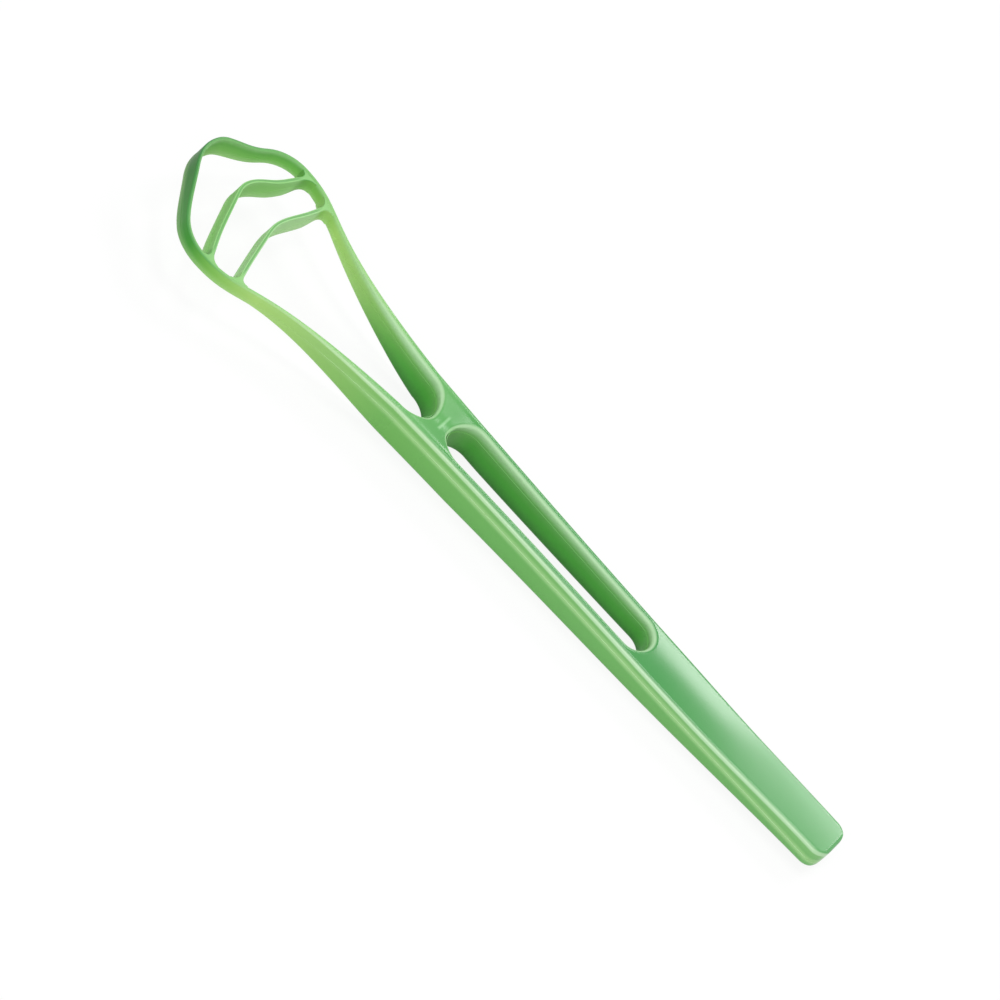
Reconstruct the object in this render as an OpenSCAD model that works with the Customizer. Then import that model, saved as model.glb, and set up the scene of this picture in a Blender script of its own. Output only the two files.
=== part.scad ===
/* [Length and seat] */
// Length of the scraper from the butt of the handle to the tip of the head
total_len = 176.3; // [168:0.1:184]
// Height of the mould parting plane above the underside of the bridge
parting_z = 6; // [5.6:0.05:6.4]
// Where the flat on the belly starts, in shares of the length from the butt
belly_start_share = 0.3432; // [0.335:0.001:0.368]
// Where the flat on the belly ends, in shares of the length from the butt
belly_end_share = 0.5502; // [0.522:0.001:0.573]
// Angle between the flat on the belly and the parting plane
belly_tilt = 1.66; // [1.2:0.02:2]

/* [Handle] */
// Width of the handle at its butt
butt_w = 10.7; // [9.5:0.1:12]
// Width of the handle where its slot begins
palm_w = 12.4; // [11.6:0.1:13.4]
// Width of the handle at the fork
fork_w = 15; // [14:0.1:16.4]
// Height of the underside of the butt above that of the bridge
butt_rise = 4; // [3.4:0.1:4.4]
// Height of the top of the butt
butt_top = 8.9; // [8.5:0.1:9.6]
// Where the top is lowest, in shares of the length from the butt
hollow_share = 0.2042; // [0.17:0.002:0.26]
// Height of the top of the handle at that point
palm_top = 7.95; // [7.7:0.05:8.4]
// Height of the top of the handle at the fork
fork_top = 8.4; // [8:0.05:9]
// How far the middle of the grip stands above its edges
grip_crown = 0.35; // [0.1:0.05:0.6]
// Planform radius of the two corners of the butt
butt_corner_r = 2.9; // [1.4:0.1:3.4]
// Radius that rounds the end face of the butt into its top and underside
butt_edge_r = 0.9; // [0.5:0.1:1.2]
// Radius of the long edges of the top
top_edge_r = 1.05; // [0.7:0.05:1.3]
// Radius of the long edges of the underside
belly_edge_r = 0.85; // [0.7:0.05:1.3]
// How far the upper half of a side wall stands in from the lower half at the parting plane
parting_step = 0.1; // [0.04:0.02:0.16]

/* [Slot and bridge] */
// Where the slot starts, in shares of the length from the butt
slot_start_share = 0.2904; // [0.261:0.001:0.312]
// Width of each of the two rails beside the slot
rail_w = 2.4; // [2.1:0.05:2.9]
// Length of the slot, in shares of the length
slot_share = 0.3091; // [0.272:0.001:0.318]
// Thickness of the bridge between the slot and the fork
bridge_len = 5; // [4:0.1:7]
// Depth of the dish in the top of the bridge
bridge_dish = 1.4; // [0.4:0.1:1.8]
// Angle at which each side of the handle widens at the fork
fork_angle = 2.6; // [1.5:0.1:4]

/* [Head] */
// Width of the head across its shoulders
head_w = 36.2; // [32:0.1:39]
// Thickness of the band that makes the loop of the head
loop_t = 1.1; // [0.9:0.05:1.3]
// Height of that band along the sides of the head
loop_h = 3.45; // [3.2:0.05:4]
// Height of the top of the head along its sides
head_top = 8.45; // [8.2:0.05:9]
// Height of the front blade at its tip
tip_h = 5.9; // [5.2:0.1:6.4]
// How far the top of the front blade rises above the sides of the head
front_rise = 3.1; // [2:0.05:3.6]
// Radius of the loop in front of its widest point, at the middle of the band
shoulder_r = 9.3; // [8:0.1:11]
// Angle of the straight flanks of the loop to the long axis
flank_angle = 54; // [50:0.5:58]
// Radius of the loop at its tip, at the middle of the band
tip_r = 9; // [6:0.25:11]
// Angle at which the middle of each arm leaves the fork
arm_angle = 6.5; // [4:0.1:8]

/* [Inner blades] */
// Thickness of the two inner blades
blade_t = 1.1; // [0.85:0.05:1.25]
// Height of the inner blades
blade_h = 5.45; // [4.8:0.05:5.8]
// Height of the inner blades at their roots
blade_root_h = 3.2; // [2.8:0.05:3.4]
// Distance from a root over which a blade grows to its whole height
root_run = 4; // [2.5:0.25:6]
// Radius of the fillets that join a blade to the loop
root_r = 1.7; // [0.8:0.1:2]
// How far the middle of the middle blade arches above its roots
middle_rise = 2.7; // [1.6:0.1:3.2]
// How far the middle of the rear blade arches above its roots
rear_rise = 1.7; // [1:0.1:2.4]
// Distance from the tip of the head to the peak of the middle blade
middle_back = 10.1; // [9:0.1:11.2]
// Distance from the tip of the head to the peak of the rear blade
rear_back = 19.6; // [18.2:0.1:20.7]
// Slope of the flanks of the middle blade
middle_slope = 0.43; // [0.36:0.01:0.48]
// Slope of the flanks of the rear blade
rear_slope = 0.26; // [0.2:0.01:0.32]
// Half width over which the peak of a blade is rounded
peak_round = 2; // [1.4:0.2:3.4]
// How far the top of a blade lies below the top of the loop at its roots
blade_set = 0.2; // [0.05:0.05:0.3]

/* [Hidden] */
// Draft of every side wall towards the top and the underside, in degrees
draft = 1.5;
// Segments in each rounded edge of the handle, of the band and of a blade
handle_seg = 4;
band_seg = 3;
blade_seg = 2;
// Segments across a crowned or dished top
crown_seg = 8;
// Overrun of every cut
over = 1;
// Length of the arm's outline handles at the fork and at the shoulder, in shares of the arm
arm_handle_shares = [0.8, 0.255];
// Part of the arm over which it thins down to the band, over which its underside lifts,
// and over which its sections turn square to its path
thin_share = 0.68;
lift_share = 0.74;
turn_share = 0.25;
// How much of the underside's lift is eased at its ends, the rest being straight
lift_ease_share = 0.3;
// Where the front blade starts to rise and over which length, in shares of the half width
front_rise_shares = [0.75, 0.58];
// The same for the arch of the inner blades
arch_shares = [0.67, 0.58];
// Slope of the underside at the butt and of the handle's outline at the slot
butt_slope = -0.05;
palm_slope = 0.008;
// Largest edge radius in shares of a wall's width, and of its height beside the parting edge
edge_w_share = 0.42;
edge_h_share = 0.9;
// Least share of a wall's height above and below its parting edge
waist_share = 0.2;
// Largest step at the parting plane in shares of a wall's width
step_w_share = 0.045;
// Edge radius of the inner blades in shares of their thickness
blade_edge_share = 0.25;
// Length of loop between the start of the shoulder and the root of the rear blade
shoulder_lead = 5;

// Places along the handle, from the butt, and the height of the belly's flat at its rear end
slot_start = total_len*slot_start_share;
slot_end = slot_start + total_len*slot_share;
hollow_y = total_len*hollow_share;
belly_start = total_len*belly_start_share;
belly_end = total_len*belly_end_share;
fork_start = slot_end + bridge_len;
belly_rise = tan(belly_tilt)*(belly_end - belly_start);

function lerp(a, b, t) = a + (b - a)*t;
function clamp01(t) = min(1, max(0, t));
function ease(t) = let (u = clamp01(t)) u*u*(3 - 2*u);
function hermite(a, b, ma, mb, t) =
    a*(2*t*t*t - 3*t*t + 1) + b*(3*t*t - 2*t*t*t)
    + ma*(t*t*t - 2*t*t + t) + mb*(t*t*t - t*t);
// Drop of a rounded edge of radius r at the distance d from its outline
function edge_drop(d, r) = d >= r ? 0 : r - sqrt(r*r - (r - d)*(r - d));
// Direction of a step, as an angle from the long axis towards the right side
function heading(step) = atan2(step[0], step[1]);

// Half width of the handle, without the round corners of its butt
function side_x(y) = y < slot_start
    ? lerp(butt_w, palm_w, ease(y/slot_start))/2
    : y < fork_start
    ? hermite(palm_w/2, fork_w/2, palm_slope*(fork_start - slot_start),
              tan(fork_angle)*(fork_start - slot_start),
              (y - slot_start)/(fork_start - slot_start))
    : fork_w/2 + tan(fork_angle)*(y - fork_start);
function corner_x(y) = side_x(y) - edge_drop(y, butt_corner_r);
// Height of the top edge, of its crown and of the underside of the handle
function handle_top(y) = y < hollow_y
    ? lerp(butt_top, palm_top, ease(y/hollow_y))
    : lerp(palm_top, fork_top, ease((y - hollow_y)/(fork_start - hollow_y)));
function crown(y) = grip_crown*(1 - ease(2*y/slot_start - 1));
function handle_bottom(y) = y < belly_start
    ? hermite(butt_rise, belly_rise, butt_slope*belly_start, -tan(belly_tilt)*belly_start,
              y/belly_start)
    : max(0, tan(belly_tilt)*(belly_end - y));

// Centres of the round ends of the slot and of the root of the fork
slot_rear_c = slot_start + side_x(slot_start) - rail_w;
slot_front_c = slot_end - side_x(slot_end) + rail_w;
fork_c = fork_start + side_x(fork_start) - rail_w;

// Outline of the loop, at the middle of the band
loop_half = (head_w - loop_t)/2;
tip_y = total_len - loop_t/2;
corner_y = tip_y + tip_r*(1/sin(flank_angle) - 1);
arc_end_x = loop_half - shoulder_r*(1 - cos(flank_angle));
widest_y = corner_y - arc_end_x/tan(flank_angle) - shoulder_r*sin(flank_angle);
arm_root = [side_x(fork_c) - rail_w/2, fork_c];
arm_len = widest_y - fork_c;
arm_points = [
    arm_root,
    arm_root + arm_handle_shares[0]*arm_len*[sin(arm_angle), cos(arm_angle)],
    [loop_half, widest_y - arm_handle_shares[1]*arm_len],
    [loop_half, widest_y]
];
function arm_point(t) =
    arm_points[0]*pow(1 - t, 3) + arm_points[1]*3*t*pow(1 - t, 2)
    + arm_points[2]*3*t*t*(1 - t) + arm_points[3]*t*t*t;
function arm_step(t) =
    (arm_points[1] - arm_points[0])*pow(1 - t, 2)
    + (arm_points[2] - arm_points[1])*2*t*(1 - t) + (arm_points[3] - arm_points[2])*t*t;
function arc_point(a) = [loop_half - shoulder_r*(1 - cos(a)), widest_y + shoulder_r*sin(a)];
function tip_point(a) = [tip_r*cos(a), tip_y - tip_r*(1 - sin(a))];

// A place u on the loop lies on the arm from 0 to 1, on the shoulder's arc to 2, on the
// straight flank to 3 and on the arc of the tip to 4, which is on the long axis
function loop_point(u) =
    u <= 1 ? arm_point(u)
    : u <= 2 ? arc_point(flank_angle*(u - 1))
    : u <= 3 ? lerp(arc_point(flank_angle), tip_point(flank_angle), u - 2)
    : tip_point(lerp(flank_angle, 90, u - 3));
function loop_heading(u) =
    u <= 1 ? heading(arm_step(u))*ease(u/turn_share)
    : u <= 2 ? -flank_angle*(u - 1)
    : u <= 3 ? -flank_angle
    : -lerp(flank_angle, 90, u - 3);

// Width, top and underside of the arm and of the band
function arm_share(u, share) = (arm_point(u)[1] - fork_c)/(arm_len*share);
function lift(t) = lerp(t, ease(t), lift_ease_share);
function loop_w(u) = u > 1 ? loop_t : lerp(rail_w, loop_t, ease(arm_share(u, thin_share)));
function loop_top(u) = u > 1
    ? head_top + front_rise*ease(front_rise_shares[0]/front_rise_shares[1]
                                 - loop_point(u)[0]/(loop_half*front_rise_shares[1]))
    : lerp(handle_top(fork_c), head_top, ease(arm_share(u, lift_share)));
function loop_bottom(u) = u > 1
    ? loop_top(u) - lerp(loop_h, tip_h, cos(90*loop_point(u)[0]/loop_half))
    : (head_top - loop_h)*lift(clamp01(arm_share(u, lift_share)));

// Closed section with rounded edges and drafted walls: [across, up] points. The upper half of
// each wall stands in by the step of the parting plane. With a rise, the top has points across
// it and is crowned by that height, or dished if the rise is negative
function section(w, top, bottom, r_top, r_bottom, seg, rise = undef) =
    let (
        least = (top - bottom)*waist_share,
        waist = min(max(parting_z, bottom + least), top - least),
        rt = min(r_top, w*edge_w_share, (top - waist)*edge_h_share),
        rb = min(r_bottom, w*edge_w_share, (waist - bottom)*edge_h_share),
        step = min(parting_step, w*step_w_share),
        xt = w/2 - rt - step - (top - waist)*tan(draft),
        xb = w/2 - rb - (waist - bottom)*tan(draft),
        inner = is_undef(rise) ? [] : [for (i = [1:crown_seg - 1]) 1 - 2*i/crown_seg]
    )
    concat(
        [for (i = [0:seg]) let (a = 180 + 90*i/seg)
            [rb*cos(a) - xb, bottom + rb + rb*sin(a)]],
        [for (i = [0:seg]) let (a = 270 + 90*i/seg)
            [xb + rb*cos(a), bottom + rb + rb*sin(a)]],
        [[w/2, waist], [w/2 - step, waist + step]],
        [for (i = [0:seg]) let (a = 90*i/seg)
            [xt + rt*cos(a), top - rt + rt*sin(a)]],
        [for (s = inner) [xt*s, top + rise*pow(1 - s*s, 2)]],
        [for (i = [0:seg]) let (a = 90 + 90*i/seg)
            [rt*cos(a) - xt, top - rt + rt*sin(a)]],
        [[step - w/2, waist + step], [-w/2, waist]]
    );
function rail_section(y) =
    section(rail_w, handle_top(y), handle_bottom(y), top_edge_r, belly_edge_r, handle_seg);

// One ring of a sweep: a section set across a path at a point, turned to a heading
function ring(p, turn, sec) =
    [for (q = sec) [p[0] + q[0]*cos(turn), p[1] - q[0]*sin(turn), q[1]]];

// Middle of a ring
function middle(r) = [for (k = [0:2]) [for (p = r) 1]*[for (p = r) p[k]]/len(r)];

// Closed skin through rings that all have as many points, its ends fanned about their middles
module skin(rings) {
    n = len(rings[0]);
    m = len(rings);
    points = concat([for (r = rings) for (p = r) p], [middle(rings[0]), middle(rings[m - 1])]);
    sides = [for (j = [0:m - 2]) for (i = [0:n - 1])
        let (a = j*n + i, b = j*n + (i + 1)%n)
        each [[a, b, a + n], [b, b + n, a + n]]];
    ends = [for (i = [0:n - 1])
        let (a = (m - 1)*n + i, b = (m - 1)*n + (i + 1)%n)
        each [[(i + 1)%n, i, m*n], [a, b, m*n + 1]]];
    polyhedron(points = points, faces = concat(sides, ends), convexity = 6);
}

// Stands the moulding on the flat of its belly, with the middle of its length over the origin
module seat() {
    translate([0, parting_z*sin(belly_tilt) - total_len/2*cos(belly_tilt),
               -belly_end*sin(belly_tilt)])
        rotate([belly_tilt, 0, 0])
            children();
}

// A length of the handle through rings at the places ys, before the round ends are cut in it
module handle_length(ys, dish) {
    skin([for (y = ys)
        ring([0, y], 0,
             section(2*corner_x(y),
                     handle_top(y) - edge_drop(y, butt_edge_r),
                     handle_bottom(y) + edge_drop(y, butt_edge_r),
                     top_edge_r, belly_edge_r, handle_seg, crown(y) - dish))]);
}

// Cutter for the round end of an opening: the inner wall of the rail, turned about its centre.
// The turn starts at the angle start, on the side away from the material
module round_end(y, start) {
    x = side_x(y) - rail_w/2;
    sec = rail_section(y);
    last = len(sec) - 1;
    wall = concat([for (i = [handle_seg:-1:0]) sec[i]],
                  [for (i = [last:-1:last - 2 - handle_seg]) sec[i]]);
    low = handle_bottom(y) - over;
    high = handle_top(y) + over;
    translate([0, y, 0])
        rotate([0, 0, start])
            rotate_extrude($fn = 48)
                polygon(concat([[0, low], [x + wall[0][0], low]],
                               [for (q = wall) [x + q[0], q[1]]],
                               [[x + wall[len(wall) - 1][0], high], [0, high]]));
}

module grip() {
    round_ys = [for (i = [0:5]) butt_corner_r*(1 - cos(90*i/5))];
    long_ys = [for (i = [1:12]) lerp(butt_corner_r, slot_rear_c, i/12)];
    color("mediumseagreen")
        seat()
            difference() {
                handle_length(concat(round_ys, long_ys), 0);
                round_end(slot_rear_c, 90);
            }
}

module rail() {
    ys = concat([for (i = [0:2]) lerp(slot_rear_c, belly_start, i/3)],
                [for (i = [0:9]) lerp(belly_start, belly_end, i/9)],
                [for (i = [1:2]) lerp(belly_end, slot_front_c, i/2)]);
    skin([for (y = ys) ring([side_x(y) - rail_w/2, y], 0, rail_section(y))]);
}
module right_rail() {
    color("forestgreen") seat() rail();
}
module left_rail() {
    color("forestgreen") seat() mirror([1, 0, 0]) rail();
}

module bridge() {
    color("mediumseagreen")
        seat()
            difference() {
                handle_length([for (i = [0:8]) lerp(slot_front_c, fork_c, i/8)], bridge_dish);
                round_end(slot_front_c, -90);
                round_end(fork_c, 90);
            }
}

// Ring of the arm or of the band, square to the loop, on its right or on its left side
function loop_ring(u, side) =
    let (p = loop_point(u), a = loop_heading(u))
    ring([side*p[0], p[1]], side > 0 ? a : -180 - a,
         section(loop_w(u), loop_top(u), loop_bottom(u), top_edge_r, belly_edge_r, band_seg));

// Place on the arm at the distance y from the butt, found by halving
function arm_place(y, low, high, n) =
    n == 0 ? (low + high)/2
    : let (m = (low + high)/2)
      arm_point(m)[1] < y ? arm_place(y, m, high, n - 1) : arm_place(y, low, m, n - 1);

// Middle of an inner blade, and the place where it meets the loop, found by halving
function blade_y(x, back, slope) =
    total_len - blade_t/2 - back - slope*(sqrt(x*x + peak_round*peak_round) - peak_round);
function blade_heading(x, slope) =
    heading([1, -slope*x/sqrt(x*x + peak_round*peak_round)]);
function root_place(back, slope, low, high, n) =
    n == 0 ? (low + high)/2
    : let (m = (low + high)/2, p = loop_point(m))
      p[1] < blade_y(p[0], back, slope)
      ? root_place(back, slope, m, high, n - 1)
      : root_place(back, slope, low, m, n - 1);
middle_root = root_place(middle_back, middle_slope, 0, 2, 20);
rear_root = root_place(rear_back, rear_slope, 0, 2, 20);
shoulder_place = arm_place(loop_point(rear_root)[1] - shoulder_lead, 0, 1, 20);

module arm() {
    skin([for (i = [0:15]) loop_ring(shoulder_place*i/15, 1)]);
}
module right_arm() {
    color("yellowgreen") seat() arm();
}
module left_arm() {
    color("yellowgreen") seat() mirror([1, 0, 0]) arm();
}

module shoulder() {
    skin(concat([for (i = [0:8]) loop_ring(lerp(shoulder_place, 1, i/8), 1)],
                [for (i = [1:8]) loop_ring(1 + i/8, 1)]));
}
module right_shoulder() {
    color("limegreen") seat() shoulder();
}
module left_shoulder() {
    color("limegreen") seat() mirror([1, 0, 0]) shoulder();
}

// Blade at the front of the loop: two straight flanks and a round tip
module front_blade() {
    places = concat([for (i = [0:5]) 2 + i/6], [for (i = [0:6]) 3 + i/6]);
    last = len(places) - 1;
    color("seagreen")
        seat()
            skin(concat([for (u = places) loop_ring(u, 1)],
                        [for (i = [last - 1:-1:0]) loop_ring(places[i], -1)]));
}

// Inner blade: straight flanks, a rounded peak, an arched top and filleted roots
module inner_blade(back, slope, rise, root) {
    n = 32;
    reach = loop_point(root)[0];
    lean = loop_heading(root);
    wall_x = reach - loop_t/2/cos(lean);
    skin([for (i = [0:n])
        let (
            x = -reach*cos(180*i/n),
            gap = wall_x - abs(x),
            swing = ease(1 - gap/(2*root_r)),
            turn = lerp(blade_heading(x, slope), 90 + sign(x)*lean, swing),
            t = blade_t + 2*edge_drop(max(gap, 0), root_r),
            arch = rise*ease(arch_shares[0]/arch_shares[1]
                                  - abs(x)/(loop_half*arch_shares[1])),
            top = head_top - blade_set + arch,
            h = lerp(blade_root_h, blade_h, ease(gap/root_run)),
            edge = blade_t*blade_edge_share
        )
        ring([x, blade_y(x, back, slope)], turn,
             section(t, top, top - h, edge, edge, blade_seg))]);
}
module trimmed_blade(back, slope, rise, root) {
    difference() {
        inner_blade(back, slope, rise, root);
        shoulder();
        mirror([1, 0, 0]) shoulder();
    }
}
module middle_blade() {
    color("mediumseagreen")
        seat() trimmed_blade(middle_back, middle_slope, middle_rise, middle_root);
}
module rear_blade() {
    color("mediumseagreen")
        seat() trimmed_blade(rear_back, rear_slope, rear_rise, rear_root);
}

grip();
left_rail();
right_rail();
bridge();
left_arm();
right_arm();
left_shoulder();
right_shoulder();
front_blade();
middle_blade();
rear_blade();
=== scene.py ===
import bmesh
import bpy
import numpy as np
from mathutils import Matrix, Vector


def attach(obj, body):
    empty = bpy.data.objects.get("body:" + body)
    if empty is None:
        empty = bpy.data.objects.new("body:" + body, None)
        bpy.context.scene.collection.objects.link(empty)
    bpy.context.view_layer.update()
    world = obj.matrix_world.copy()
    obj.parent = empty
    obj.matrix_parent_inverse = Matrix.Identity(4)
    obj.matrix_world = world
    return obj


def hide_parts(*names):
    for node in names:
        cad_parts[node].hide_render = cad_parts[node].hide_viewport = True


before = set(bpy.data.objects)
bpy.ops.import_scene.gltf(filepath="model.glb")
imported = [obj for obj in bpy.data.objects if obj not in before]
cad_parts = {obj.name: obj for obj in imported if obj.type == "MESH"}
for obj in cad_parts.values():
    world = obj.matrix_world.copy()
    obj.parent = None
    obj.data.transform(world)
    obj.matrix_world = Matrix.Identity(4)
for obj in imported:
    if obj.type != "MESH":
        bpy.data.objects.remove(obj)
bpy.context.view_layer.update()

# Grip. The solid rear of the handle, moulded in one shot with the rest of the scraper in clear green
# plastic. The halves of the mould meet along its side walls, where the upper half stands in by a
# tenth of a millimetre. Its front ends in the round rear end of the slot.

# Sizes in millimetres: x to the right, y from the butt, z up from the underside of the bridge.
total_len = 176.3
butt_w, palm_w, fork_w, rail_w = 10.7, 12.4, 15.0, 2.4
palm_slope, fork_angle = 0.008, np.radians(2.6)      # how the sides spread at the palm and fork
slot_start, slot_len, bridge_len = total_len*0.2904, total_len*0.3091, 5.0
slot_end = slot_start + slot_len
fork_start = slot_end + bridge_len
butt_top, palm_top, fork_top = 8.9, 7.95, 8.4        # heights of the top's edges
hollow_y = total_len*0.2042                          # where the top is lowest
crown_butt, crown_rise = 0.06, 0.32                  # swell of the top, at the butt and in front
crown_start, crown_grow, crown_fade = 18, 24, 34     # where it starts to grow, and its two runs
belly_start, belly_end = total_len*0.3432, total_len*0.5502
belly_tilt, butt_rise, butt_slope = np.radians(1.66), 4.0, -0.05
belly_rise = np.tan(belly_tilt)*(belly_end - belly_start)
tilt_c, tilt_s = np.cos(belly_tilt), np.sin(belly_tilt)
butt_corner_r, butt_edge_r, top_edge_r, belly_edge_r = 2.9, 0.9, 1.05, 0.85
edge_w_share, edge_h_share = 0.42, 0.9               # the most that an edge takes of a thin member
parting_z, parting_step, draft = 6.0, 0.1, np.radians(1.5)
waist_share, step_w_share = 0.2, 0.045               # room for the parting line on a thin member
edge_steps, wall_shares = 8, (0.06, 0.5, 0.94)       # facets of an edge, rows on half a wall
across_steps, turn_steps, corner_steps = 32, 24, 18


def ease(t):
    """The smooth step 3t^2 - 2t^3 from 0 to 1, level before and after."""
    t = np.clip(t, 0, 1)
    return t*t*(3 - 2*t)


def hermite(a, b, slope_a, slope_b, t):
    """The cubic that runs from a to b with the given slopes at its ends, for t from 0 to 1."""
    return (a*(2*t**3 - 3*t**2 + 1) + b*(3*t**2 - 2*t**3)
            + slope_a*(t**3 - 2*t**2 + t) + slope_b*(t**3 - t**2))


def edge_drop(d, r):
    """How far a rounded edge of radius r lies below the flat at the distance d from its outline."""
    return r - np.sqrt(np.maximum(r*r - (r - np.clip(d, 0, r))**2, 0))


def side_x(y):
    """Half width of the handle: an eased widening to the slot, a cubic to the fork, then straight."""
    span = fork_start - slot_start
    rear = (butt_w + (palm_w - butt_w)*ease(y/slot_start))/2
    middle = hermite(palm_w/2, fork_w/2, palm_slope*span, np.tan(fork_angle)*span,
                     (y - slot_start)/span)
    front = fork_w/2 + np.tan(fork_angle)*(y - fork_start)
    return np.where(y < slot_start, rear, np.where(y < fork_start, middle, front))


def handle_top(y):
    """Height of the top's edges: an eased fall to the hollow, then an eased rise to the fork."""
    rear = butt_top + (palm_top - butt_top)*ease(y/hollow_y)
    front = palm_top + (fork_top - palm_top)*ease((y - hollow_y)/(fork_start - hollow_y))
    return np.where(y < hollow_y, rear, front)


def handle_bottom(y):
    """Height of the underside: a cubic from the butt to the belly's flat, the flat, then level."""
    rear = hermite(butt_rise, belly_rise, butt_slope*belly_start,
                   -np.tan(belly_tilt)*belly_start, y/belly_start)
    front = np.maximum(0, np.tan(belly_tilt)*(belly_end - y))
    return np.where(y < belly_start, rear, front)


def wall(half, top, bottom, r_top, r_bottom):
    """A drafted side wall from the edge of the top to the edge of the underside: a quarter circle, a
    lean out to the parting line, the step there, a lean in below it and a quarter circle. Returns
    its distances from the middle, its heights, and how steep it is (0 flat, 1 upright), with one
    row for each place."""
    half, top, bottom = (v[..., None] for v in np.broadcast_arrays(half, top, bottom))
    least = (top - bottom)*waist_share
    waist = np.minimum(np.maximum(parting_z, bottom + least), top - least)
    rt = np.minimum(np.minimum(r_top, 2*half*edge_w_share), (top - waist)*edge_h_share)
    rb = np.minimum(np.minimum(r_bottom, 2*half*edge_w_share), (waist - bottom)*edge_h_share)
    step = np.minimum(parting_step, 2*half*step_w_share)
    a = np.linspace(np.pi/2, 0, edge_steps + 1)
    top_x = half - rt - step - (top - waist)*np.tan(draft)
    low_x = half - rb - (waist - bottom)*np.tan(draft)
    high, low = np.array([*wall_shares, 1]), np.array([0, *wall_shares])
    x = np.concatenate([top_x + rt*np.cos(a), top_x + rt + (half - step - top_x - rt)*high,
                        half + (low_x + rb - half)*low, low_x + rb*np.sin(a)], -1)
    z = np.concatenate([top - rt + rt*np.sin(a), top - rt + (waist + step - top + rt)*high,
                        waist + (bottom + rb - waist)*low, bottom + rb - rb*np.cos(a)], -1)
    steep = np.concatenate([np.cos(a), np.ones(high.size + low.size), np.sin(a)])
    return x, z, steep


def crown(x, y):
    """The swell of the handle's top: a parabola across its whole width, which grows from the butt to
    the slot and dies out on the arms."""
    rise = crown_butt + (crown_rise - crown_butt)*ease((y - crown_start)/crown_grow)
    rise = rise*(1 - ease((y - fork_start)/crown_fade))
    return rise*np.maximum(0, 1 - (x/side_x(y))**2)


def marked(x, y, z, steep, top, bottom, inside):
    """Points with the three marks that the plastic's colour follows: how steep the surface is, the
    share of the section's height that the point lies at, and whether it is on an inner wall. The
    upper part of the section is lifted by the crown."""
    high = (z - bottom)/(top - bottom)
    z = z + crown(x, y)*ease(2*high - 1)
    return np.stack(np.broadcast_arrays(x, y, z, steep, high, inside), -1)


def seated(points):
    """Points of the moulding in mm, turned about X by the belly's tilt, with the middle of the
    length over the origin and the belly's flat at height zero, in metres."""
    x, y, z = np.moveaxis(np.asarray(points, float), -1, 0)
    return 0.001*np.stack([x, y*tilt_c - z*tilt_s + parting_z*tilt_s - total_len/2*tilt_c,
                           y*tilt_s + z*tilt_c - belly_end*tilt_s], -1)


def grid_faces(rows, columns, closed=False):
    """Quads between the neighbours of a grid whose points are numbered row by row."""
    i = np.arange(rows - 1)[:, None]*columns
    j = np.arange(columns if closed else columns - 1)
    k = (j + 1) % columns
    return np.stack([i + j, i + columns + j, i + columns + k, i + k], -1).reshape(-1, 4)


def fan(points):
    """A flat end: triangles from the middle of a closed outline to its sides."""
    n = len(points)
    j = np.arange(n)
    return np.vstack([points, points.mean(0)]), np.stack([j, (j + 1) % n, np.full(n, n)], -1)


weld_gap, sliver = 2e-7, 1e-7        # metres
crease = np.radians(32)              # a sharper bend keeps a hard edge


def piece(name, patches, node, mirrored=False):
    """One closed piece from (points, faces) patches, welded where they meet, facing outwards, with
    its mirror image about the middle plane where asked. It rides on the body and stands for node."""
    flips = [np.array([sign, 1, 1, 1, 1, 1]) for sign in ((1, -1) if mirrored else (1,))]
    points = [p.reshape(-1, 6)*flip for p, _ in patches for flip in flips]
    faces = [f for _, f in patches for _ in flips]
    starts = np.cumsum([0] + [len(p) for p in points[:-1]])
    points = np.vstack(points)
    mesh = bpy.data.meshes.new(name)
    mesh.from_pydata(seated(points[:, :3]).tolist(), [],
                     sum(((f + start).tolist() for f, start in zip(faces, starts)), []))
    for column, mark in enumerate(("steep", "high", "inside"), 3):
        mesh.attributes.new(mark, "FLOAT", "POINT").data.foreach_set(
            "value", np.ascontiguousarray(points[:, column]))
    bm = bmesh.new()
    bm.from_mesh(mesh)
    bmesh.ops.remove_doubles(bm, verts=bm.verts, dist=weld_gap)
    bmesh.ops.dissolve_degenerate(bm, edges=bm.edges, dist=sliver)
    bmesh.ops.recalc_face_normals(bm, faces=bm.faces)
    if bm.calc_volume(signed=True) < 0:
        bmesh.ops.reverse_faces(bm, faces=bm.faces)
    bm.to_mesh(mesh)
    bm.free()
    mesh.shade_smooth()
    mesh.set_sharp_from_angle(angle=crease)
    obj = bpy.data.objects.new(name, mesh)
    bpy.context.collection.objects.link(obj)
    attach(obj, "root")
    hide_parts(node)
    return obj


def end_centre(y, way):
    """Centre of the round end of an opening whose wall stands at y, on the side way of it."""
    return y + way*(side_x(y) - rail_w)


def handle_skin(inner_top, inner_low, y, half, drop, top_height):
    """Right half of a stretch of the handle between its inner line and its side: across the top from
    the inner line, down the side wall and back across the underside. inner_top and inner_low are
    points in plan, y and half the place of the side wall, drop the rounding of the butt."""
    across = np.linspace(0, 1, across_steps + 1)[:, None]
    top, low = handle_top(y) - drop, handle_bottom(y) + drop
    x, z, steep = wall(half, top, low, top_edge_r, belly_edge_r)
    y, top, low, drop = (v[:, None] for v in (y, top, low, drop))
    side = marked(x, y, z, steep, top, low, 0)
    over = inner_top[:, None]*(1 - across) + side[:, None, 0, :2]*across
    under = side[:, None, -1, :2]*(1 - across) + inner_low[:, None]*across
    over_z = top_height(over[..., 0], over[..., 1]) - drop
    under_z = handle_bottom(under[..., 1]) + drop
    over = marked(over[..., 0], over[..., 1], over_z, 0, over_z, low, 0)
    under = marked(under[..., 0], under[..., 1], under_z, 0, top, under_z, 0)
    rows = np.concatenate([over[:, :-1], side, under[:, 1:]], 1)
    return rows, grid_faces(*rows.shape[:2])


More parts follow.
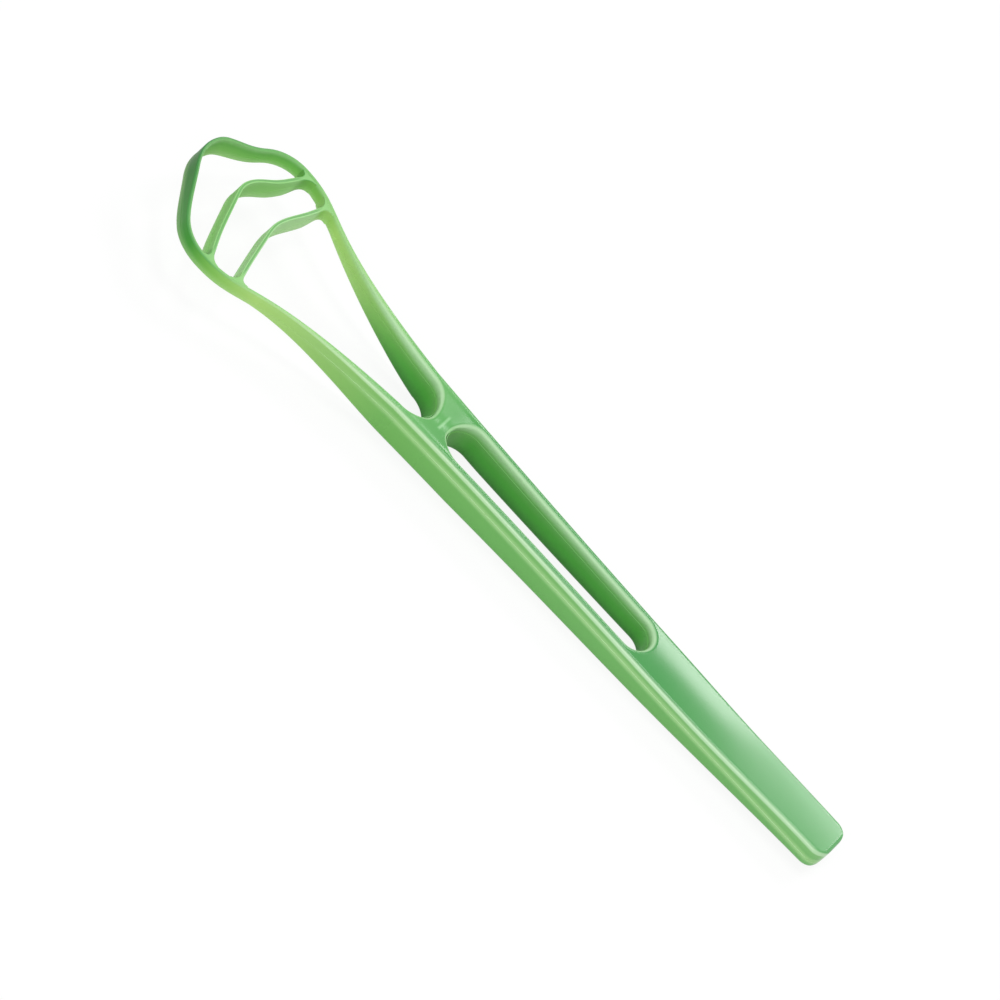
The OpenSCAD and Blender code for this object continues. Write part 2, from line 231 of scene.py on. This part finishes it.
def round_end(centre, way, turn, top_height):
    """Right half of the round end of an opening: the rail's inner wall turned about the centre, by
    turn from the middle plane, with its edges following the top and the underside there."""
    top, low = handle_top(centre), handle_bottom(centre)
    x, z, steep = wall(rail_w/2, top, low, top_edge_r, belly_edge_r)
    radius = side_x(centre) - rail_w/2 - x
    rows = marked(radius*np.sin(turn)[:, None], centre + way*radius*np.cos(turn)[:, None],
                  z, steep, top, low, 1)
    rim, foot = rows[:, 0], rows[:, -1]
    rows[:, :edge_steps + 1, 2] += (top_height(rim[:, 0], rim[:, 1]) - z[0])[:, None]
    rows[:, -edge_steps - 1:, 2] += (handle_bottom(foot[:, 1]) - z[-1])[:, None]
    return rows, grid_faces(*rows.shape[:2])


def grip_top(x, y):
    """Height of the grip's top, which is that of its edges at every x."""
    return handle_top(y)


def butt_end(rim, inset=0.04):
    """The flat end of the butt: a strip from its rim to a ring, set in by a share of the end's width
    and height, and a fan over the ring, which is marked upright to take the colour of the sides."""
    low, top = rim[:, 2].min(), rim[:, 2].max()
    high = inset + (1 - 2*inset)*(rim[:, 2] - low)/(top - low)
    ring = np.stack([(1 - inset)*rim[:, 0], rim[:, 1], low + (top - low)*high,
                     np.ones_like(high), high, np.zeros_like(high)], -1)
    return [(np.stack([rim, ring]), grid_faces(2, len(rim))), fan(ring)]


# The rows run square across the grip up to lead_y. Over the lead they swing round to the slot's end.
turn = np.linspace(0, np.pi/2, turn_steps + 1)
slot_rear_c = end_centre(slot_start, 1)
slot_rear, slot_rear_faces = round_end(slot_rear_c, -1, turn, grip_top)
lead_len = 12
lead_y = slot_rear_c - lead_len
lead = np.linspace(0, 1, 9)[1:-1, None]
butt_y = butt_corner_r*(1 - np.cos(np.linspace(0, np.pi/2, corner_steps + 1)))
axis_y = np.concatenate([butt_y, np.linspace(butt_corner_r, lead_y, 30)[1:]])
on_axis = np.stack([np.zeros_like(axis_y), axis_y], -1)
inner_top, inner_low = (
    np.concatenate([on_axis, on_axis[-1:]*(1 - lead) + slot_rear[:1, k, :2]*lead,
                    slot_rear[:, k, :2]]) for k in (0, -1))
wall_y = np.concatenate([axis_y, lead_y + lead_len/2*lead[:, 0],
                         slot_rear_c - lead_len/2*(1 - turn/turn[-1])])
grip_rows, grip_faces = handle_skin(
    inner_top, inner_low, wall_y, side_x(wall_y) - edge_drop(wall_y, butt_corner_r),
    edge_drop(wall_y, butt_edge_r), grip_top)
grip_end = np.concatenate([grip_rows[-1], slot_rear[-1, -2:0:-1]])
grip_piece = piece("grip_moulding", [(grip_rows, grip_faces), (slot_rear, slot_rear_faces),
                                     *butt_end(grip_rows[0]), fan(grip_end)], "grip",
                   mirrored=True)

# Rails. The two bars beside the long slot, moulded on with the grip. All their long edges are
# rounded by the mould, and the flat of the belly, on which the scraper lies, is on their undersides.


def sweep(name, middle, heading, half, top, bottom, node, side=1, r_top=top_edge_r,
          r_bottom=belly_edge_r, sides=(0, 1)):
    """A bar whose drafted section is carried along a path in plan, square to the path's heading,
    with flat ends. middle to bottom have one value for each place on the path, side is -1 for its
    mirror image, and sides are the inner marks of its left and right faces."""
    x, z, steep = wall(half, top, bottom, r_top, r_bottom)
    inside = np.repeat(np.atleast_2d(sides), x.shape[1], axis=1)
    x, z, steep = (np.concatenate([v, sign*v[..., ::-1]], -1)
                   for v, sign in ((x, -1), (z, 1), (steep, 1)))
    rows = marked(side*(middle[:, :1] + x*np.cos(heading)[:, None]),
                  middle[:, 1:] - x*np.sin(heading)[:, None],
                  z, steep, top[:, None], bottom[:, None], inside)
    return piece(name, [(rows, grid_faces(*rows.shape[:2], closed=True)),
                        fan(rows[0]), fan(rows[-1])], node)


slot_front_c = end_centre(slot_end, -1)
rail_y = np.concatenate([np.linspace(slot_rear_c, belly_start, 12)[:-1],
                         np.linspace(belly_start, belly_end, 40)[:-1],
                         np.linspace(belly_end, slot_front_c, 10)])
rail_pieces = [
    sweep(name + "_moulding", np.stack([side_x(rail_y) - rail_w/2, rail_y], -1),
          np.zeros_like(rail_y), rail_w/2, handle_top(rail_y), handle_bottom(rail_y), name, side)
    for name, side in (("right_rail", 1), ("left_rail", -1))]

# Bridge. The cross bar between the slot and the fork, dished for a fingertip, with softly rounded
# rims. The plastic was let into the mould here, and the trimmed gate shows as a low ridge.
bridge_dish = 1.4
gate_y, gate_long, gate_wide, gate_high, gate_fade = 107.7, 2.5, 0.5, 0.06, 1.2
rail_low = 2.0               # underside of the rails halfway along
rail_flat_x = wall(rail_w/2, palm_top, rail_low, top_edge_r, belly_edge_r)[0][..., 0]


def bridge_top(x, y):
    """Height of the bridge's top: the handle's, less a dish of (1 - (x/spread)^2)^2 between the
    flats on top of the rails, plus a ridge of exp(-d^2) along the gate, which fades at its ends."""
    spread = side_x(y) - rail_w/2 - rail_flat_x
    dish = bridge_dish*np.maximum(0, 1 - (x/spread)**2)**2
    fade = ease((np.abs(x) - gate_long + gate_fade)/gate_fade)
    ridge = np.exp(-((y - gate_y)/gate_wide)**2)*(1 - fade)
    return handle_top(y) - dish + gate_high*ridge


fork_c = end_centre(fork_start, 1)
slot_front, slot_front_faces = round_end(slot_front_c, 1, turn[::-1], bridge_top)
fork_root, fork_root_faces = round_end(fork_c, -1, turn, bridge_top)
along = np.linspace(0, 1, 31)[1:-1, None]
inner_top, inner_low = (
    np.concatenate([slot_front[:, k, :2],
                    slot_front[-1:, k, :2]*(1 - along) + fork_root[:1, k, :2]*along,
                    fork_root[:, k, :2]]) for k in (0, -1))
rear_y, front_y = slot_front[-1, 0, 1], fork_root[0, 0, 1]
wall_y = np.concatenate([slot_front_c + (rear_y - slot_front_c)*(1 - turn[::-1]/turn[-1]),
                         rear_y + (front_y - rear_y)*along[:, 0],
                         fork_c - (fork_c - front_y)*(1 - turn/turn[-1])])
bridge_rows, bridge_faces = handle_skin(inner_top, inner_low, wall_y, side_x(wall_y),
                                        np.zeros_like(wall_y), bridge_top)
bridge_ends = [np.concatenate([bridge_rows[k], end[k, -2:0:-1]])
               for k, end in ((0, slot_front), (-1, fork_root))]
bridge_piece = piece("bridge_moulding", [(bridge_rows, bridge_faces),
                                         (slot_front, slot_front_faces),
                                         (fork_root, fork_root_faces),
                                         fan(bridge_ends[0]), fan(bridge_ends[1])],
                     "bridge", mirrored=True)

# Arms. They leave the bridge as wide as the rails, spread apart and thin down to the band of the
# head while their undersides lift, so that the head flexes a little and clears the tongue.
head_w, loop_t, loop_h, head_top, tip_h, front_rise = 36.2, 1.1, 3.45, 8.45, 5.9, 3.1
shoulder_r, flank_angle, tip_r, arm_angle = 9.3, np.radians(54), 9.0, np.radians(6.5)
thin_share, lift_share, turn_share, lift_ease_share = 0.68, 0.74, 0.25, 0.3
front_rise_shares = (0.75, 0.58)
arm_pull, widest_pull = 0.8, 0.255       # handles of the arm's cubic, as shares of its length
shoulder_u = 0.512                       # the arm's end, 5 mm behind the root of the rear blade
loop_half = (head_w - loop_t)/2
tip_y = total_len - loop_t/2
corner_y = tip_y + tip_r*(1/np.sin(flank_angle) - 1)
arc_end_x = loop_half - shoulder_r*(1 - np.cos(flank_angle))
widest_y = corner_y - arc_end_x/np.tan(flank_angle) - shoulder_r*np.sin(flank_angle)
arm_len = widest_y - fork_c
arm_points = np.array([
    [side_x(fork_c) - rail_w/2, fork_c],
    [side_x(fork_c) - rail_w/2 + arm_pull*arm_len*np.sin(arm_angle),
     fork_c + arm_pull*arm_len*np.cos(arm_angle)],
    [loop_half, widest_y - widest_pull*arm_len],
    [loop_half, widest_y]])


def loop_path(u):
    """Middle of the head's loop in plan, and its heading from the long axis. u runs from 0 to 1 on
    the arm's cubic, to 2 on the shoulder's arc, to 3 on the straight flank, to 4 on the tip's arc."""
    t = np.clip(u, 0, 1)[:, None]
    p = arm_points
    arm = p[0]*(1 - t)**3 + p[1]*3*t*(1 - t)**2 + p[2]*3*t*t*(1 - t) + p[3]*t**3
    step = (p[1] - p[0])*(1 - t)**2 + (p[2] - p[1])*2*t*(1 - t) + (p[3] - p[2])*t*t
    a = flank_angle*np.clip(u - 1, 0, 1)
    arc = np.stack([loop_half - shoulder_r*(1 - np.cos(a)), widest_y + shoulder_r*np.sin(a)], -1)
    b = flank_angle + (np.pi/2 - flank_angle)*np.clip(u - 3, 0, 1)
    tip = np.stack([tip_r*np.cos(b), tip_y - tip_r*(1 - np.sin(b))], -1)
    flank = np.clip(u - 2, 0, 1)[:, None]
    middle = np.where(u[:, None] <= 1, arm, arc*(1 - flank) + tip*flank)
    heading = np.where(u <= 1, np.arctan2(step[:, 0], step[:, 1])*ease(u/turn_share),
                       -np.where(u <= 3, a, b))
    return middle, heading


def loop_heights(u):
    """Half width, top and underside of the arm and of the band. The arm's width and underside ease
    from the rail's to the band's, and the band rises and deepens towards the tip."""
    middle = loop_path(u)[0]
    thin, up = ((middle[:, 1] - fork_c)/(arm_len*share) for share in (thin_share, lift_share))
    up = np.clip(up, 0, 1)
    lift = up + (ease(up) - up)*lift_ease_share
    x = middle[:, 0]/loop_half
    band_top = head_top + front_rise*ease((front_rise_shares[0] - x)/front_rise_shares[1])
    band_low = band_top - loop_h - (tip_h - loop_h)*np.cos(np.pi/2*np.clip(x, 0, 1))
    arm_top = handle_top(fork_c) + (head_top - handle_top(fork_c))*ease(up)
    on_arm = u <= 1
    return (np.where(on_arm, rail_w + (loop_t - rail_w)*ease(thin), loop_t)/2,
            np.where(on_arm, arm_top, band_top),
            np.where(on_arm, (head_top - loop_h)*lift, band_low))


def loop_sweep(name, u, side):
    """A member of the loop on one side of the head, along the places u."""
    middle, heading = loop_path(u)
    return sweep(name + "_moulding", middle, heading, *loop_heights(u), name, side)


arm_places = np.linspace(0, shoulder_u, 90)
arm_pieces = [loop_sweep(name, arm_places, side)
              for name, side in (("right_arm", 1), ("left_arm", -1))]

# Shoulders. The bends of the head's loop, a band of constant thickness that carries the roots of
# the inner blades.
shoulder_places = np.concatenate([np.linspace(shoulder_u, 1, 60), 1 + np.linspace(0, 1, 40)[1:]])
shoulder_pieces = [loop_sweep(name, shoulder_places, side)
                   for name, side in (("right_shoulder", 1), ("left_shoulder", -1))]

# Front blade. The pointed front of the loop, which rises above the shoulders towards its tip. Its
# left half is the mirror image of its right half, run through backwards.
front_places = np.concatenate([2 + np.linspace(0, 1, 40), 3 + np.linspace(0, 1, 30)[1:]])
half_middle, half_heading = loop_path(front_places)
front_middle = np.concatenate([half_middle, (half_middle*[-1, 1])[-2::-1]])
front_heading = np.concatenate([half_heading, (-np.pi - half_heading)[-2::-1]])
front_sizes = [np.concatenate([v, v[-2::-1]]) for v in loop_heights(front_places)]
front_piece = sweep("front_blade_moulding", front_middle, front_heading, *front_sizes,
                    "front_blade")

# Inner blades. Two thin chevron blades across the loop with rounded peaks and arched tops. Fillets
# join their roots to the band, where they are also a little lower.
blade_t, blade_h, blade_root_h, root_run, root_r = 1.1, 5.45, 3.2, 4.0, 1.7
peak_round, blade_set, arch_shares, blade_edge_share = 2.0, 0.2, (0.67, 0.58), 0.25
blade_inside, inside_run = 0.5, 4        # the inner mark of its faces, which grows from the roots
search_steps, blade_steps = 4000, 160


def blade_path(x, back, slope):
    """Middle of a blade: a hyperbola, which rounds the peak and then falls off straight."""
    return total_len - blade_t/2 - back - slope*(np.sqrt(x*x + peak_round**2) - peak_round)


def inner_blade(name, back, slope, rise):
    """A blade between the two places where its path meets the middle of the band. Towards a root
    it thickens by the fillet's circle, turns along the band and loses height."""
    u = np.linspace(0.5, 2, search_steps + 1)
    band, lean = loop_path(u)
    root = np.argmin(np.abs(band[:, 1] - blade_path(band[:, 0], back, slope)))
    reach, lean = band[root, 0], lean[root]
    x = -reach*np.cos(np.linspace(0, np.pi, blade_steps + 1))
    gap = reach - loop_t/2/np.cos(lean) - np.abs(x)
    swing = ease(1 - gap/(2*root_r))
    own = np.arctan2(1, -slope*x/np.sqrt(x*x + peak_round**2))
    heading = own + (np.pi/2 + np.sign(x)*lean - own)*swing
    half = blade_t/2 + edge_drop(np.maximum(gap, 0), root_r)
    arch = rise*ease((arch_shares[0] - np.abs(x)/loop_half)/arch_shares[1])
    top = head_top - blade_set + arch
    height = blade_root_h + (blade_h - blade_root_h)*ease(gap/root_run)
    edge = blade_t*blade_edge_share
    middle = np.stack([x, blade_path(x, back, slope)], -1)
    faces = ease(gap/inside_run)[:, None]*[blade_inside, blade_inside]
    return sweep(name + "_moulding", middle, heading, half, top, top - height, name,
                 r_top=edge, r_bottom=edge, sides=faces)


blade_pieces = [inner_blade("middle_blade", back=10.1, slope=0.43, rise=2.7),
                inner_blade("rear_blade", back=19.6, slope=0.26, rise=1.7)]

# Plastic. A clear green plastic, clouded by its pigment, with the gloss of a polished mould. Light
# and shade are painted into its colour: painted highlights on its rounded edges, its parting line
# and the gate's ridge, painted dark rims on the head, painted shade on the walls inside the
# openings, painted light on the upper and lower walls, and tops and walls in greens that stand in
# for how light falls on them. The thin arms look yellower, and the front blade's walls darkest.


class Wire:
    """A number or a colour that runs through a material's nodes. Sums, differences and products of
    number wires and plain numbers add Math nodes."""

    def __init__(self, tree, socket=None):
        self.tree, self.socket = tree, socket

    def node(self, kind, settings=(), sockets=(), output=0):
        """The output of a new node: its settings are set first, then its sockets."""
        made = self.tree.nodes.new(kind)
        for name, value in dict(settings).items():
            if name == "stops":
                ramp = made.color_ramp.elements
                while len(ramp) < len(value):
                    ramp.new(1)
                for stop, (place, colour) in zip(ramp, value):
                    stop.position, stop.color = place, colour
            else:
                setattr(made, name, value)
        for name, value in dict(sockets).items():
            if isinstance(value, Wire):
                self.tree.links.new(value.socket, made.inputs[name])
            else:
                made.inputs[name].default_value = value
        return Wire(self.tree, made.outputs[output])

    def math(self, operation, *terms):
        """A Math node on the terms."""
        return self.node("ShaderNodeMath", {"operation": operation}, dict(enumerate(terms)))

    def __add__(self, other):
        return self.math("ADD", self, other)

    def __radd__(self, other):
        return self.math("ADD", other, self)

    def __sub__(self, other):
        return self.math("SUBTRACT", self, other)

    def __rsub__(self, other):
        return self.math("SUBTRACT", other, self)

    def __mul__(self, other):
        return self.math("MULTIPLY", self, other)

    def __rmul__(self, other):
        return self.math("MULTIPLY", other, self)

    def __abs__(self):
        return self.math("ABSOLUTE", self)

    def step(self, start, end):
        """Eases from 0 to 1 as the wire runs from start to end."""
        return self.node("ShaderNodeMapRange", {"interpolation_type": "SMOOTHSTEP"},
                         {"Value": self, "From Min": start, "From Max": end})

    def mix(self, a, b):
        """Colour a where the wire is 0, b where it is 1."""
        return self.node("ShaderNodeMix", {"data_type": "RGBA"},
                         {0: self, 6: a, 7: b}, output=2)

    def ramp(self, *stops):
        """Colour at the wire's value between (place, written colour) stops."""
        return self.node("ShaderNodeValToRGB",
                         {"stops": [(place, rgb(colour)) for place, colour in stops]},
                         {"Fac": self})

    def into(self, owner, name):
        """Ends the wire at the socket called name of the node owner."""
        self.tree.links.new(self.socket, owner.inputs[name])


def rgb(hexa):
    """Linear colour of a written one."""
    v = np.array([int(hexa[i:i + 2], 16) for i in (0, 2, 4)])/255
    return (*np.where(v <= 0.04045, v/12.92, ((v + 0.055)/1.055)**2.4), 1.0)


plastic = bpy.data.materials.new("clear_green_plastic")
plastic.use_nodes = True
shader = plastic.node_tree.nodes["Principled BSDF"]
pen = Wire(plastic.node_tree)
place = pen.node("ShaderNodeTexCoord", output="Object")
x, y, z = (pen.node("ShaderNodeSeparateXYZ", {}, {"Vector": place}, way) for way in "XYZ")
steep, high, inside = (pen.node("ShaderNodeAttribute", {"attribute_name": mark}, {}, "Fac")
                       for mark in ("steep", "high", "inside"))

# length is 0 at the butt and 1 at the tip, mould_z the height in the mould's millimetres.
length = y*(1000/total_len) + 0.5
mould_z = (z*(1000*tilt_c) - y*(1000*tilt_s)
           + tilt_s*(belly_end*tilt_c + parting_z*tilt_s - total_len/2*tilt_c))
# Painted light and shade: the tops and the walls get separate greens along the length, which stand in
# for how light falls on each; on the handle the walls are the lighter, as lit from the floor.
top_colour = length.ramp((0.0, "5ca260"), (0.12, "5a9e5e"), (0.26, "42924a"), (0.55, "429446"),
                         (0.66, "5ca852"), (0.78, "94c878"), (0.9, "84c070"), (0.96, "5c9c54"))
wall_colour = length.ramp((0.0, "6eb062"), (0.5, "68ae55"), (0.66, "6cb052"), (0.77, "94c466"),
                          (0.84, "a6d26c"), (0.89, "78b848"), (0.93, "2c8c14"), (1.0, "126604"))
# Painted highlight for the upper rounded edges: pale on the handle and arms, turning to painted dark
# rims on the head.
painted_edge_light_and_shade = length.ramp((0.0, "c0e2b8"), (0.25, "ccecc6"), (0.7, "c6e6ba"), (0.84, "b0da94"),
                          (0.9, "5ca456"), (1.0, "3c8644"))

# Where each layer of colour lies, from 0 to 1.
# Painted light: the upper half of the walls a little paler, as lit from above; not on the head.
painted_upper_wall_light = steep.step(0.8, 1.0)*high.step(0.5, 0.8)*(1 - length.step(0.8, 0.95))
band = inside.step(0.6, 0.9)*length.step(0.86, 0.92)*steep
blade = inside.step(0.1, 0.5)*(1 - inside.step(0.6, 0.9))*length.step(0.8, 0.85)
# Painted light: the lower half of the walls on the arms and head painted pale as if glowing, more on
# inner walls.
painted_lower_wall_glow = steep.step(0.8, 1.0)*(1 - high.step(0.0, 0.5))*length.step(0.7, 0.95)
# Painted highlight: a pale band along the parting line on the outer walls, fading towards the head.
line = (1 - abs(mould_z - parting_z).step(0.1, 1.1))*steep.step(0.8, 1.0)*(1 - inside)
# Painted highlight on the upper rounded edges, with painted dark rims on the head.
edge = steep.step(0.2, 0.65)*(1 - steep.step(0.88, 1.0))*high.step(0.5, 0.7)
far_forward = length.step(0.7, 0.85)
# Painted highlight on the upper rounded edges of the inner walls, softer towards the head.
painted_inner_edge_highlight = inside*steep.step(0.2, 0.95)*high.step(0.7, 0.94)
# Painted shade on the walls inside the openings, darker towards their feet and eased off at the
# slot's front end.
slot_end_wall = length.step(0.57, 0.595)*(1 - length.step(0.61, 0.62))
painted_inner_wall_shade = inside*steep.step(0.7, 1.0)*(1 - length.step(0.66, 0.8))*(1 - 0.5*slot_end_wall)
# Painted highlight: a pale stripe along the crest of the gate's ridge on the bridge.
gate = ((1 - abs(length - gate_y/total_len).step(0.0004, 0.0026))
        * (1 - abs(x*1000).step(gate_long - 0.8, gate_long))
        * high.step(0.4, 0.6)*(1 - steep.step(0.0, 0.2)))
clouds = pen.node("ShaderNodeTexNoise", {}, {"Vector": place, "Scale": 140.0, "Detail": 3.0})

# The layers, each laid over the one before by its mask and strength.
band_colour = high.step(0.4, 0.9).mix(rgb("88cc64"), rgb("70ba54"))
blade_side = length.step(0.89, 0.92).mix(rgb("b0de9c"), rgb("92d270"))
blade_colour = steep.step(0.1, 0.3).mix(rgb("62a056"), blade_side)
# Painted light and shade: tops and walls take their separate greens by how steep they are.
base = steep.step(0.3, 0.9).mix(top_colour, wall_colour)
for mask, colour in (
        # painted light on the upper half of the walls
        (painted_upper_wall_light*0.12, rgb("b4e2a0")),
        (band*0.8, band_colour),
        (blade*0.85, blade_colour),
        # painted glow on the lower walls of the arms and head
        (painted_lower_wall_glow*(0.4 + 0.3*inside), rgb("b4d89a")),
        # painted highlight along the parting line
        (line*(0.5 - 0.4*length.step(0.62, 0.75)), rgb("b4e09c")),
        # painted highlight and dark rims on the upper rounded edges
        (edge*(0.75 - 0.35*inside), blade.mix(painted_edge_light_and_shade, rgb("a0d494"))),
        # painted highlight on the inner walls' upper edges
        (painted_inner_edge_highlight*(0.85 - 0.35*far_forward), far_forward.mix(rgb("c8ecc0"), rgb("a8da98"))),
        # painted shade inside the openings, darkest at the feet of the walls
        (painted_inner_wall_shade*(0.9 - 0.8*high.step(0.4, 0.9)), rgb("3ca024")),
        (painted_inner_wall_shade*(0.8 - 0.8*high.step(0.0, 0.5)), rgb("186410")),
        # painted highlight on the gate's ridge
        (gate*0.5, rgb("a8dca4")),
        (clouds*0.12, rgb("4f9f50"))):
    base = mask.mix(base, colour)
base.into(shader, "Base Color")

# The gloss is duller on inner walls, on the head and in the bridge's dish, and has a faint ripple.
haze = pen.node("ShaderNodeTexNoise", {}, {"Vector": place, "Scale": 900.0, "Detail": 2.0})
dish = length.step(0.59, 0.61)*(1 - length.step(0.64, 0.66))
rough = 0.17 + 0.05*haze + 0.25*inside*steep + 0.28*length.step(0.8, 0.9) + 0.14*dish
rough.into(shader, "Roughness")
ripple = pen.node("ShaderNodeTexNoise", {}, {"Vector": place, "Scale": 260.0, "Detail": 1.0})
bump = pen.node("ShaderNodeBump", {}, {"Height": ripple*(1 - length.step(0.75, 0.82)),
                                       "Strength": 0.02, "Distance": 0.0004})
bump.into(shader, "Normal")
shader.inputs["IOR"].default_value = 1.49
shader.inputs["Specular IOR Level"].default_value = 0.35
for obj in [grip_piece, *rail_pieces, bridge_piece, *arm_pieces, *shoulder_pieces, front_piece,
            *blade_pieces]:
    obj.data.materials.append(plastic)

# Floor. A plain white sweep that the scraper lies on, seen as white by the camera and in
# reflections, with a soft shadow under the scraper.
floor_half = 4.0             # metres
floor_grey, glow_share = 0.9, 0.88
floor_mesh = bpy.data.meshes.new("floor")
floor_mesh.from_pydata([(-floor_half, -floor_half, 0), (floor_half, -floor_half, 0),
                        (floor_half, floor_half, 0), (-floor_half, floor_half, 0)],
                       [], [(0, 1, 2, 3)])
floor = bpy.data.objects.new("floor", floor_mesh)
bpy.context.collection.objects.link(floor)


def seen(tree):
    """1 for the rays that show a surface: those of the camera, of gloss and of clear materials."""
    camera_ray, gloss_ray, clear_ray = (
        Wire(tree).node("ShaderNodeLightPath", output="Is %s Ray" % kind)
        for kind in ("Camera", "Glossy", "Transmission"))
    return camera_ray.math("MAXIMUM", camera_ray, gloss_ray.math("MAXIMUM", gloss_ray, clear_ray))


paper = bpy.data.materials.new("white_floor")
paper.use_nodes = True
tree = paper.node_tree
tree.nodes.remove(tree.nodes["Principled BSDF"])
ray = seen(tree)
matt = ray.node("ShaderNodeBsdfDiffuse", {}, {"Color": (floor_grey, floor_grey, floor_grey, 1)})
glow = ray.node("ShaderNodeEmission", {}, {"Color": (1, 1, 1, 1), "Strength": 1.0})
shown = ray.node("ShaderNodeMixShader", {}, {0: ray*glow_share, 1: matt, 2: glow})
shown.into(tree.nodes["Material Output"], "Surface")
floor.data.materials.append(paper)

# Camera. It looks down at 45 degrees from the left side with a long lens. The picture's right is a
# mix of the handle's axis and of the direction across it, and so is its up.
view_turn = np.radians(45)
screen_along, screen_across = -0.6733, 0.7394
centre_y, centre_across, centre_z = 90.11, -1.252, 6.55      # what the picture is centred on
lens, sensor, shown_width = 300.0, 36.0, 186.9
tilt = np.array([[1, 0, 0], [0, tilt_c, -tilt_s], [0, tilt_s, tilt_c]])
back = tilt @ [-np.sin(view_turn), 0, np.cos(view_turn)]
across = tilt @ [np.cos(view_turn), 0, np.sin(view_turn)]
axis = tilt @ [0, 1, 0]
right = screen_along*axis + screen_across*across
up = screen_across*axis - screen_along*across
target = seated([centre_across*np.cos(view_turn), centre_y,
                 centre_z + centre_across*np.sin(view_turn)])
camera_data = bpy.data.cameras.new("camera")
camera_data.lens, camera_data.sensor_width = lens, sensor
camera = bpy.data.objects.new("camera", camera_data)
bpy.context.collection.objects.link(camera)
stand = target + back*shown_width*0.001*lens/sensor
camera.matrix_world = Matrix([[right[i], up[i], back[i], stand[i]] for i in range(3)]
                             + [[0, 0, 0, 1]])
bpy.context.scene.camera = camera

# Lamps and world. Three soft boxes round the scraper in a pale room, which the camera and the
# gloss see as white.
world_light = 0.5


def softbox(name, direction, distance, width, height, strength):
    """A rectangular lamp that looks at the middle of the scraper from a direction."""
    data = bpy.data.lights.new(name, "AREA")
    data.shape, data.size, data.size_y, data.energy = "RECTANGLE", width, height, strength
    lamp = bpy.data.objects.new(name, data)
    lamp.location = Vector(direction).normalized()*distance
    lamp.rotation_mode = "QUATERNION"
    lamp.rotation_quaternion = Vector(direction).to_track_quat("Z", "Y")
    bpy.context.collection.objects.link(lamp)


softbox("near_side", (-1, 0.05, 1.0), distance=1.9, width=1.2, height=0.8, strength=14)
softbox("above", (0.26, 0, 1), distance=1.3, width=0.5, height=0.42, strength=4.8)
softbox("far_side", (1, -0.2, 0.785), distance=1.3, width=0.5, height=0.24, strength=5)
world = bpy.data.worlds.new("world")
bpy.context.scene.world = world
world.use_nodes = True
sky = world.node_tree.nodes["Background"]
(world_light + seen(world.node_tree)*(1 - world_light)).into(sky, "Strength")
sky.inputs["Color"].default_value = (1, 1, 1, 1)
bpy.context.scene.view_settings.view_transform = "Standard"
